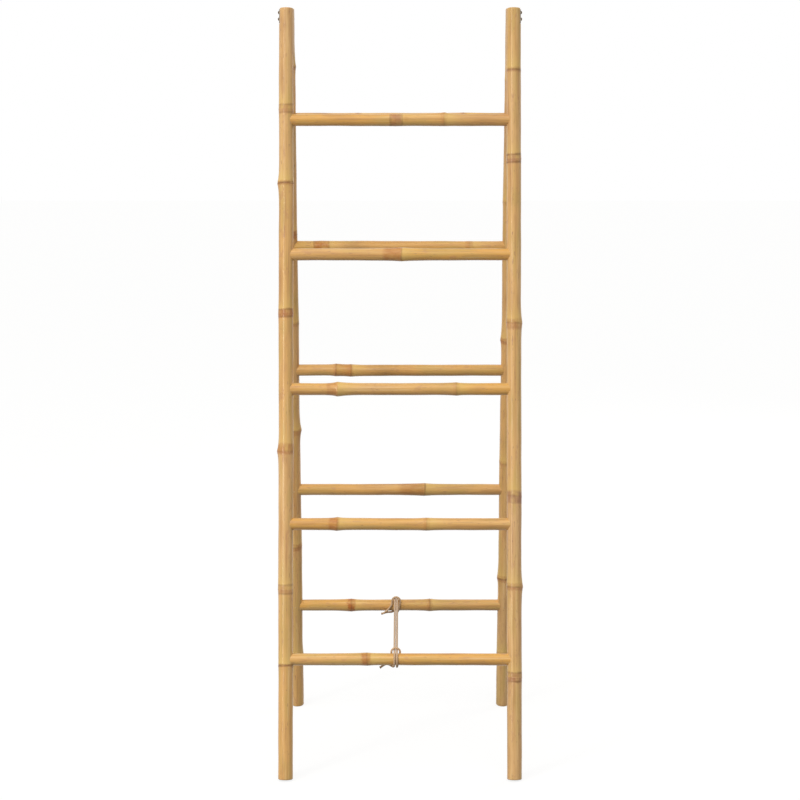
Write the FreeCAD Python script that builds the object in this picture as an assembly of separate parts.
# Folding towel ladder of bamboo, in millimetres: two ladders hinged at the top, tied by a cord below.
# X runs along the rungs, Y from the front ladder to the rear one, Z up from the floor.
import FreeCAD
import Part
import math
import os

Vec = FreeCAD.Vector
ORIGIN = Vec(0, 0, 0)
ALONG_X = Vec(1, 0, 0)
ALONG_Y = Vec(0, 1, 0)
ALONG_Z = Vec(0, 0, 1)

# Overall frame
frame_width = 509.4
floor_depth = 600.0
post_length = 1618.3
lowest_rung = 250.4
top_rung_drop = 235.9
rung_count = 5

# Culms: posts and rungs are hollow between their knuckles
rung_diameter = 25.2
rung_wall = 5.5
rung_end_round = 1.0
pocket_wall = 2.7
post_wall = 6.5
post_end_round = 2.4
foot_flat = 0.4
diaphragm = 5.0
bud_radius = 10.0

# Rung seats and the pegs that lock them
rung_fit = 0.1
rung_past_axis = 5.5
pocket_floor_gap = 0.4
peg_diameter = 4.0
peg_sink = 0.3
peg_fit = 0.05

# Strap hinges
top_gap = 0.8
pivot_drop = 16.0
plate_thickness = 1.5
plate_inset = 0.4
plate_top_drop = 3.0
plate_end = 7.0
plate_corner = 2.5
plate_edge_margin = 0.5
flat_past_plate = 2.0
washer_thickness = 0.5
washer_radius = 4.6
hinge_play = 0.05
lug_clearance = 1.1
rivet_radius = 2.0
rivet_head_radius = 3.8
rivet_head_height = 1.3
screw_radius = 1.75
screw_length = 13.0
screw_point = 4.0
screw_gap = 14.0
screw_head_radius = 3.8
screw_head_height = 2.9
screw_fit = 0.05
recess_width = 1.1
recess_length = 4.4
recess_depth = 1.3

# Cord: two strands side by side, hitched round the two lowest rungs
cord_diameter = 4.5
cord_offset = -9.0
strand_gap = 0.5
cord_seat = 0.3
cord_lead = 16.5
cord_end_gap = 0.4
arch_reach = 12.4
arch_rise = 1.2
arch_flare = 1.6
arch_foot = 3.0
tail_shift = 12.5
tail_tips = {"front": (Vec(-36.7, -17.0, -18.0), Vec(-42.2, -13.0, -21.5)),
             "rear": (Vec(-34.4, -17.0, -13.5), Vec(-42.6, -14.0, -17.5))}

# Shared by every cut
overrun = 5.0
least_turn = 0.001
BOTH_SIDES = {"left": -1, "right": 1}
BOTH_LADDERS = {"front": 1, "rear": -1}

# Knuckles of each culm: share of its length, how far it swells and half its width
post_knuckles = {
    "front_left": ((0.147, 0.4, 7), (0.244, 0.5, 7), (0.424, 0.9, 12), (0.600, 0.5, 8), (0.772, 0.9, 12),
                   (0.869, 0.5, 7)),
    "front_right": ((0.133, 0.4, 7), (0.249, 0.9, 12), (0.364, 0.5, 7), (0.591, 0.8, 12), (0.802, 0.4, 7),
                    (0.919, 0.4, 6)),
    "rear_left": ((0.078, 0.6, 9), (0.246, 0.4, 7), (0.418, 1.0, 12), (0.572, 0.4, 7), (0.698, 0.4, 7),
                  (0.924, 0.6, 9)),
    "rear_right": ((0.082, 0.5, 7), (0.197, 0.8, 12), (0.371, 0.5, 7), (0.548, 0.7, 11), (0.742, 0.5, 7),
                   (0.906, 0.5, 7)),
}
rung_knuckles = {
    "front": (((0.356, 1.3, 16),), ((0.236, 2.1, 14), (0.612, 1.1, 14)), ((0.232, 2.8, 15), (0.738, 1.3, 14)),
              ((0.494, 2.1, 24),), ((0.509, 0.4, 10),)),
    "rear": (((0.273, 1.9, 16), (0.640, 1.6, 14)), ((0.609, 2.0, 22),), ((0.245, 2.2, 18),),
             ((0.141, 0.3, 8), (0.566, 0.3, 8)), ((0.317, 1.2, 14), (0.782, 1.0, 14))),
}

# Stubs of cut branches: share of the culm's length, bearing and how far they stand out
post_buds = {
    "front_left": ((0.424, 180, 2.5), (0.772, 180, 2.5)),
    "front_right": ((0.249, 0, 2.5), (0.591, 0, 2.1)),
    "rear_left": ((0.078, 0, 1.4), (0.418, 0, 3.9), (0.924, 0, 1.4)),
    "rear_right": ((0.197, 180, 2.3), (0.548, 180, 2.0)),
}
top_front_buds = ((0.692, 180, 2.2),)

# Worked out from the above
rung_radius = rung_diameter / 2
post_radius = rung_radius + pocket_wall
post_x = frame_width / 2 - post_radius
rung_length = 2 * (post_x + rung_past_axis)
rung_pitch = (post_length - lowest_rung - top_rung_drop) / (rung_count - 1)
pivot_height = post_length - pivot_drop
steepest_lean = floor_depth / 2 / post_length
pivot_offset = post_radius + pivot_drop * steepest_lean + top_gap / 2
peg_length = pocket_wall + rung_wall
front_flat = plate_inset + plate_thickness
rear_plate_inset = front_flat + washer_thickness + hinge_play
rear_flat = rear_plate_inset + plate_thickness
plate_length = screw_gap + 2 * plate_end
flat_length = plate_top_drop + plate_length + flat_past_plate
plate_insets = {"front": plate_inset, "rear": rear_plate_inset}
flat_depths = {"front": front_flat, "rear": rear_flat}
cord_radius = cord_diameter / 2
strand_pitch = cord_diameter + strand_gap
wrap_radius = rung_radius + cord_radius + cord_seat


def half_chord(depth):
    """Half the width of a flat milled to this depth on the side of a post."""
    return math.sqrt(post_radius**2 - (post_radius - depth) ** 2)


plate_width = 2 * (half_chord(front_flat) - plate_edge_margin)
lug_radius = pivot_offset - half_chord(rear_flat) - lug_clearance

# The lean that puts the feet's outer rims floor_depth apart, with the pivot above the middle
lean_run = pivot_height - post_end_round
lean_side = pivot_offset + post_radius - post_end_round
lean_reach = floor_depth / 2 - post_end_round
lean = math.asin(lean_reach / math.hypot(lean_run, lean_side)) - math.atan2(lean_side, lean_run)
rim = post_radius - post_end_round
foot_height = rim * math.sin(lean) + post_end_round * (1 - math.cos(lean)) - foot_flat
foot_out = pivot_offset * math.cos(lean) + pivot_height * math.sin(lean)


def stood_up(shape, inward):
    """Leans a shape of the upright ladder to its place: inward is 1 for the front one, -1 for the rear."""
    placed = shape.copy()
    placed.rotate(ORIGIN, ALONG_X, -inward * math.degrees(lean))
    placed.translate(Vec(0, -inward * foot_out, foot_height))
    return placed


def point_stood_up(x, y, z, inward):
    """Where a point of the upright ladder goes when the ladder leans to its place."""
    c, s = math.cos(lean), inward * math.sin(lean)
    return Vec(x, y * c + z * s - inward * foot_out, z * c - y * s + foot_height)


def box_between(low, high):
    """A box from its lowest corner to its highest."""
    size = high - low
    return Part.makeBox(size.x, size.y, size.z, low)


def culm_outline(length, radius, end_round, knuckles):
    """Face between a culm's axis and its skin: straight runs, round rims and an arc at each knuckle."""
    inset = end_round * (1 - math.sqrt(0.5))
    foot = [Vec(radius - end_round, 0, 0), Vec(radius - inset, 0, inset), Vec(radius, 0, end_round)]
    top = [Vec(p.x, 0, length - p.z) for p in reversed(foot)]
    edges = [Part.LineSegment(ORIGIN, foot[0]), Part.Arc(*foot)]
    last = foot[-1]
    for share, rise, half in knuckles:
        z = length * share
        low, high = Vec(radius, 0, z - half), Vec(radius, 0, z + half)
        edges += [Part.LineSegment(last, low), Part.Arc(low, Vec(radius + rise, 0, z), high)]
        last = high
    end = Vec(0, 0, length)
    edges += [Part.LineSegment(last, top[0]), Part.Arc(*top), Part.LineSegment(top[-1], end)]
    edges.append(Part.LineSegment(end, ORIGIN))
    return Part.Face(Part.Wire([e.toShape() for e in edges]))


def culm_hollows(length, bore, places):
    """One bore for each stretch between two diaphragms, open at the culm's two ends."""
    starts = [-overrun] + [z + diaphragm / 2 for z in places]
    ends = [z - diaphragm / 2 for z in places] + [length + overrun]
    return [Part.makeCylinder(bore, b - a, Vec(0, 0, a)) for a, b in zip(starts, ends)]


def bud(radius, z, bearing, rise):
    """Stub of a cut branch: a ball sunk into the culm's side."""
    out = radius + rise - bud_radius
    turn = math.radians(bearing)
    return Part.makeSphere(bud_radius, Vec(out * math.cos(turn), out * math.sin(turn), z))


def culm(length, radius, wall, end_round, knuckles, buds):
    """A hollow bamboo culm standing on the origin."""
    solid = culm_outline(length, radius, end_round, knuckles).revolve(ORIGIN, ALONG_Z, 360)
    if buds:
        solid = solid.fuse([bud(radius, length * share, bearing, rise) for share, bearing, rise in buds])
    places = [length * share for share, rise, half in knuckles]
    return solid.cut(culm_hollows(length, radius - wall, places))


def rung_height(number):
    """Height of a rung along the posts; rung 1 is the top one."""
    return lowest_rung + (rung_count - number) * rung_pitch


def rod_x(radius, length, x, y, z, side):
    """A round bar that starts at a point and runs outwards along X on the given side."""
    return Part.makeCylinder(radius, length, Vec(x, y, z), Vec(side, 0, 0))


def peg_tool(side, number, inward, radius, start, length):
    """A round bar through the post's axis and a rung end, from the side that faces the other ladder."""
    base = Vec(side * post_x, inward * start, rung_height(number))
    return Part.makeCylinder(radius, length, base, Vec(0, -inward, 0))


def peg_hole(side, number, inward):
    """Drilling for one peg, through the post's wall and the rung's."""
    start = post_radius + overrun
    depth = overrun + peg_sink + peg_length + peg_fit
    return peg_tool(side, number, inward, peg_diameter / 2 + peg_fit, start, depth)


def peg(side, number, inward):
    """A wooden peg, driven just below the post's skin."""
    return peg_tool(side, number, inward, peg_diameter / 2, post_radius - peg_sink, peg_length)


def screw_heights():
    """Heights of a plate's two screws, one above and one below the pivot."""
    return [pivot_height + screw_gap / 2, pivot_height - screw_gap / 2]


def post(ladder, side_name):
    """One post with its rung pockets, peg holes, hinge flat, screw holes and the flat it stands on."""
    inward, side = BOTH_LADDERS[ladder], BOTH_SIDES[side_name]
    name = f"{ladder}_{side_name}"
    solid = culm(post_length, post_radius, post_wall, post_end_round, post_knuckles[name], post_buds[name])
    solid.translate(Vec(side * post_x, 0, 0))
    tools = []
    for number in range(1, rung_count + 1):
        seat = post_x + rung_past_axis + pocket_floor_gap
        reach = seat - post_x + post_radius + overrun
        tools.append(rod_x(rung_radius + rung_fit, reach, side * seat, 0, rung_height(number), -side))
        tools.append(peg_hole(side, number, inward))
    face = frame_width / 2 - flat_depths[ladder]
    low_x, high_x = sorted((side * face, side * (frame_width / 2 + overrun)))
    tools.append(box_between(Vec(low_x, -post_radius, post_length - flat_length),
                             Vec(high_x, post_radius, post_length + overrun)))
    for z in screw_heights():
        tools.append(rod_x(screw_radius + screw_fit, screw_length + screw_fit, side * face, 0, z, -side))
    floor = box_between(Vec(-frame_width, -floor_depth, -post_radius), Vec(frame_width, floor_depth, 0))
    return stood_up(solid.cut(tools), inward).cut(floor)


def rung(ladder, number):
    """One rung, lying from pocket to pocket, drilled for its two pegs."""
    inward = BOTH_LADDERS[ladder]
    rows = rung_knuckles[ladder]
    knuckles = rows[(rung_count - number) % len(rows)]
    buds = top_front_buds if ladder == "front" and number == 1 else ()
    solid = culm(rung_length, rung_radius, rung_wall, rung_end_round, knuckles, buds)
    solid.rotate(ORIGIN, ALONG_Y, 90)
    solid.translate(Vec(-rung_length / 2, 0, rung_height(number)))
    holes = [peg_hole(side, number, inward) for side in BOTH_SIDES.values()]
    return stood_up(solid.cut(holes), inward)


def rung_pegs(ladder):
    """The pegs of one ladder, two for each rung."""
    inward = BOTH_LADDERS[ladder]
    numbers = range(1, rung_count + 1)
    pegs = [peg(side, number, inward) for number in numbers for side in BOTH_SIDES.values()]
    return stood_up(Part.makeCompound(pegs), inward)


def hinge_plate(ladder, side_name):
    """Strap on a post's flat, with an arm to the pivot and three holes."""
    inward, side = BOTH_LADDERS[ladder], BOTH_SIDES[side_name]
    outer = frame_width / 2 - plate_insets[ladder]
    low_x, high_x = sorted((side * (outer - plate_thickness), side * outer))
    base = post_length - plate_top_drop - plate_length
    half_width = plate_width / 2
    strap = box_between(Vec(low_x, -half_width, base), Vec(high_x, half_width, base + plate_length))
    corners = [e for e in strap.Edges if abs(e.tangentAt(e.FirstParameter).x) > math.sqrt(0.5)]
    strap = strap.makeFillet(plate_corner, corners)
    pivot_y = inward * pivot_offset
    near, far = sorted((0, pivot_y))
    low_z, high_z = pivot_height - lug_radius, pivot_height + lug_radius
    arm = box_between(Vec(low_x, near, low_z), Vec(high_x, far, high_z))
    lug = rod_x(lug_radius, plate_thickness, low_x, pivot_y, pivot_height, 1)
    plate = strap.fuse([arm, lug]).removeSplitter()
    through, start = plate_thickness + 2 * overrun, low_x - overrun
    holes = [rod_x(rivet_radius + hinge_play, through, start, pivot_y, pivot_height, 1)]
    for z in screw_heights():
        holes.append(rod_x(screw_radius + screw_fit, through, start, 0, z, 1))
    return stood_up(plate.cut(holes), inward)


def dome(radius, height):
    """Round head on the origin: a cap of a sphere with the given rim and height."""
    ball = (radius**2 + height**2) / (2 * height)
    cap = Part.makeSphere(ball, Vec(0, 0, height - ball))
    return cap.common(Part.makeCylinder(radius, height))


def turned_out(shape, side):
    """Turns a shape that stands along Z so that its head faces outwards on the given side."""
    shape.rotate(ORIGIN, ALONG_Y, side * 90)
    return shape


def screw():
    """Round-headed wood screw, head up, with the head's underside at the origin."""
    shank_length = screw_length - screw_point
    shank = Part.makeCylinder(screw_radius, shank_length, Vec(0, 0, -shank_length))
    tip = Part.makeCone(0, screw_radius, screw_point, Vec(0, 0, -screw_length))
    body = dome(screw_head_radius, screw_head_height).fuse([shank, tip]).removeSplitter()
    floor = screw_head_height - recess_depth
    long, wide = recess_length / 2, recess_width / 2
    high = screw_head_height + overrun
    bar = box_between(Vec(-long, -wide, floor), Vec(long, wide, high))
    cross = box_between(Vec(-wide, -long, floor), Vec(wide, long, high))
    return body.cut([bar, cross])


def hinge_screws(ladder, side_name):
    """The two screws of one plate, their heads on its outer face."""
    inward, side = BOTH_LADDERS[ladder], BOTH_SIDES[side_name]
    outer = frame_width / 2 - plate_insets[ladder]
    screws = []
    for z in screw_heights():
        one = turned_out(screw(), side)
        one.translate(Vec(side * outer, 0, z))
        screws.append(one)
    return stood_up(Part.makeCompound(screws), inward)


def hinge_rivet(side_name):
    """Pivot of one hinge: domed head outside, shank through both plates, flat head inside."""
    side = BOTH_SIDES[side_name]
    grip = 2 * plate_thickness + washer_thickness + 2 * hinge_play
    shank = Part.makeCylinder(rivet_radius, grip, Vec(0, 0, -grip))
    back = Part.makeCylinder(rivet_head_radius, rivet_head_height, Vec(0, 0, -grip - rivet_head_height))
    rivet = dome(rivet_head_radius, rivet_head_height).fuse([shank, back]).removeSplitter()
    rivet = turned_out(rivet, side)
    rivet.translate(Vec(side * (frame_width / 2 - plate_inset), pivot_offset, pivot_height))
    return stood_up(rivet, BOTH_LADDERS["front"])


def hinge_washer(side_name):
    """Thin ring that keeps the two plates of a hinge apart."""
    side = BOTH_SIDES[side_name]
    ring = Part.makeCylinder(washer_radius, washer_thickness)
    ring = ring.cut(Part.makeCylinder(rivet_radius + hinge_play, washer_thickness))
    ring = turned_out(ring, -side)
    ring.translate(Vec(side * (frame_width / 2 - front_flat), pivot_offset, pivot_height))
    return stood_up(ring, BOTH_LADDERS["front"])


def corner_arc(start, corner, end):
    """Arc that leaves start towards corner and reaches end from it; both legs are equally long."""
    first, second = corner - start, end - corner
    half_turn = first.getAngle(second) / 2
    if half_turn < least_turn:
        return Part.LineSegment(start, end).toShape()
    radius = first.Length / math.tan(half_turn)
    towards = ((start + end) * 0.5 - corner).normalize()
    return Part.Arc(start, corner + towards * (radius / math.cos(half_turn) - radius), end).toShape()


def joined_by_arcs(stations):
    """Smooth wire through stations, each a point and a heading, with two tangent arcs between each pair."""
    edges = []
    for (p, go), (q, arrive) in zip(stations, stations[1:]):
        a, b, v = Vec(go).normalize(), Vec(arrive).normalize(), q - p
        bend, both = 2 * (1 - a.dot(b)), v.dot(a + b)
        if bend < least_turn**2:
            reach = v.dot(v) / (2 * both)
        else:
            reach = (math.sqrt(both**2 + bend * v.dot(v)) - both) / bend
        first, second = p + a * reach, q - b * reach
        middle = (first + second) * 0.5
        edges += [corner_arc(p, first, middle), corner_arc(middle, second, q)]
    return Part.Wire(edges)


def tube(wire, start, heading, radius):
    """Round cord along a wire."""
    ring = Part.Wire([Part.makeCircle(radius, start, heading)])
    return wire.makePipeShell([ring], True, False)


def round_rung(x, turn, slope):
    """Station on a cord wound round a rung, by its turn from the top over the far side and its slope along X."""
    c, s = math.cos(turn), math.sin(turn)
    return Vec(x, wrap_radius * s, wrap_radius * c), Vec(slope, c, -s)


def strand_x(side):
    """Place of a strand along X, left or right."""
    return cord_offset + side * strand_pitch / 2


def left_hitch(tips):
    """Half turn of the left strand round a rung, veering left at the end, then its tail below it."""
    x, tip, eighth = strand_x(-1), tips[1], math.pi / 4
    stations = [(Vec(x, -cord_lead, wrap_radius), ALONG_Y)]
    stations += [round_rung(x, 0, 0), round_rung(x, 2 * eighth, 0)]
    stations.append(round_rung(x - tail_shift / 4, 3 * eighth, -tail_shift / wrap_radius / 2))
    under = x - tail_shift
    stations.append(round_rung(under, 4 * eighth, (tip.x - under) / -tip.y))
    stations.append((tip, tip - stations[-1][0]))
    return stations


def right_hitch(tips):
    """Three quarter turns of the right strand round a rung, an arch over both strands, then its tail."""
    left, right, quarter = strand_x(-1), strand_x(1), math.pi / 2
    stations = [(Vec(right, -cord_lead, wrap_radius), ALONG_Y)]
    stations += [round_rung(right, k * quarter, 0) for k in range(3)]
    stations.append(round_rung(right + strand_pitch, 3 * quarter, strand_pitch / (quarter * wrap_radius)))
    low, high = wrap_radius - arch_foot, wrap_radius + strand_pitch + arch_rise
    stations.append((Vec(right + strand_pitch + arch_flare, -arch_reach, low), ALONG_Z))
    stations.append((Vec(cord_offset, -arch_reach, high), -ALONG_X))
    stations.append((Vec(left - strand_pitch - arch_flare, -arch_reach, low), -ALONG_Z))
    beside = Vec(left - strand_pitch - arch_flare - cord_radius, -wrap_radius - 2 * cord_seat, 0)
    stations.append((beside, tips[0] - stations[-1][0]))
    stations.append((tips[0], tips[0] - beside))
    return stations


def cord_rung(ladder):
    """Middle of the lowest rung of a ladder."""
    return point_stood_up(0, 0, rung_height(rung_count), BOTH_LADDERS[ladder])


def least_gap(wire):
    """Least space between a cord's turns, on points: only pairs a full bend apart are compared."""
    count = int(wire.Length / cord_radius)
    points = wire.discretize(Number=count)
    apart = int(math.pi * strand_pitch / cord_radius)
    gaps = [p.distanceToPoint(q) for i, p in enumerate(points) for q in points[i + apart :]]
    return min(gaps) - cord_diameter


def hitch(ladder):
    """Both strands' hitches round the lowest rung of a ladder, as two unbroken tubes."""
    centre = cord_rung(ladder)
    away = -BOTH_LADDERS[ladder]
    solids = []
    for name, make in (("left", left_hitch), ("right", right_hitch)):
        local = make(tail_tips[ladder])
        stations = [(centre + Vec(p.x, away * p.y, p.z), Vec(t.x, away * t.y, t.z)) for p, t in local]
        wire = joined_by_arcs(stations)
        solid = tube(wire, *stations[0], cord_radius)
        share = solid.Volume / (math.pi * cord_radius**2 * wire.Length)
        print(f"{ladder} {name} hitch: length {wire.Length:.1f}, volume share {share:.4f},"
              f" least gap {least_gap(wire):.2f}")
        solids.append(solid)
    return Part.makeCompound(solids)


def cord_span(side):
    """Straight stretch of one strand between the two hitches."""
    front, rear = cord_rung("front"), cord_rung("rear")
    start = Vec(strand_x(side), front.y + cord_lead, front.z + wrap_radius)
    length = rear.y - front.y - 2 * cord_lead - cord_end_gap
    print(f"span {side}: length {length:.1f}")
    return Part.makeCylinder(cord_radius, length, start, ALONG_Y)


def all_pieces():
    """Every piece of the ladder by name."""
    pieces = {}
    for ladder in BOTH_LADDERS:
        for side in BOTH_SIDES:
            pieces[f"{ladder}_{side}_post"] = post(ladder, side)
            pieces[f"{side}_hinge_{ladder}_plate"] = hinge_plate(ladder, side)
            pieces[f"{side}_hinge_{ladder}_screws"] = hinge_screws(ladder, side)
        for number in range(1, rung_count + 1):
            pieces[f"{ladder}_rung_{number}"] = rung(ladder, number)
        pieces[f"{ladder}_rung_pegs"] = rung_pegs(ladder)
        pieces[f"cord_{ladder}_hitch"] = hitch(ladder)
    for side in BOTH_SIDES:
        pieces[f"{side}_hinge_rivet"] = hinge_rivet(side)
        pieces[f"{side}_hinge_washer"] = hinge_washer(side)
        pieces[f"cord_{side}_strand"] = cord_span(BOTH_SIDES[side])
    return pieces


os.makedirs("parts", exist_ok=True)
for node, shape in all_pieces().items():
    shape.exportStep(f"parts/{node}.step")
pivot = point_stood_up(0, pivot_offset, pivot_height, BOTH_LADDERS["front"])
print(f"lean {math.degrees(lean):.3f} deg, pivot y {pivot.y:.4f} z {pivot.z:.3f}, lug {lug_radius:.2f}")
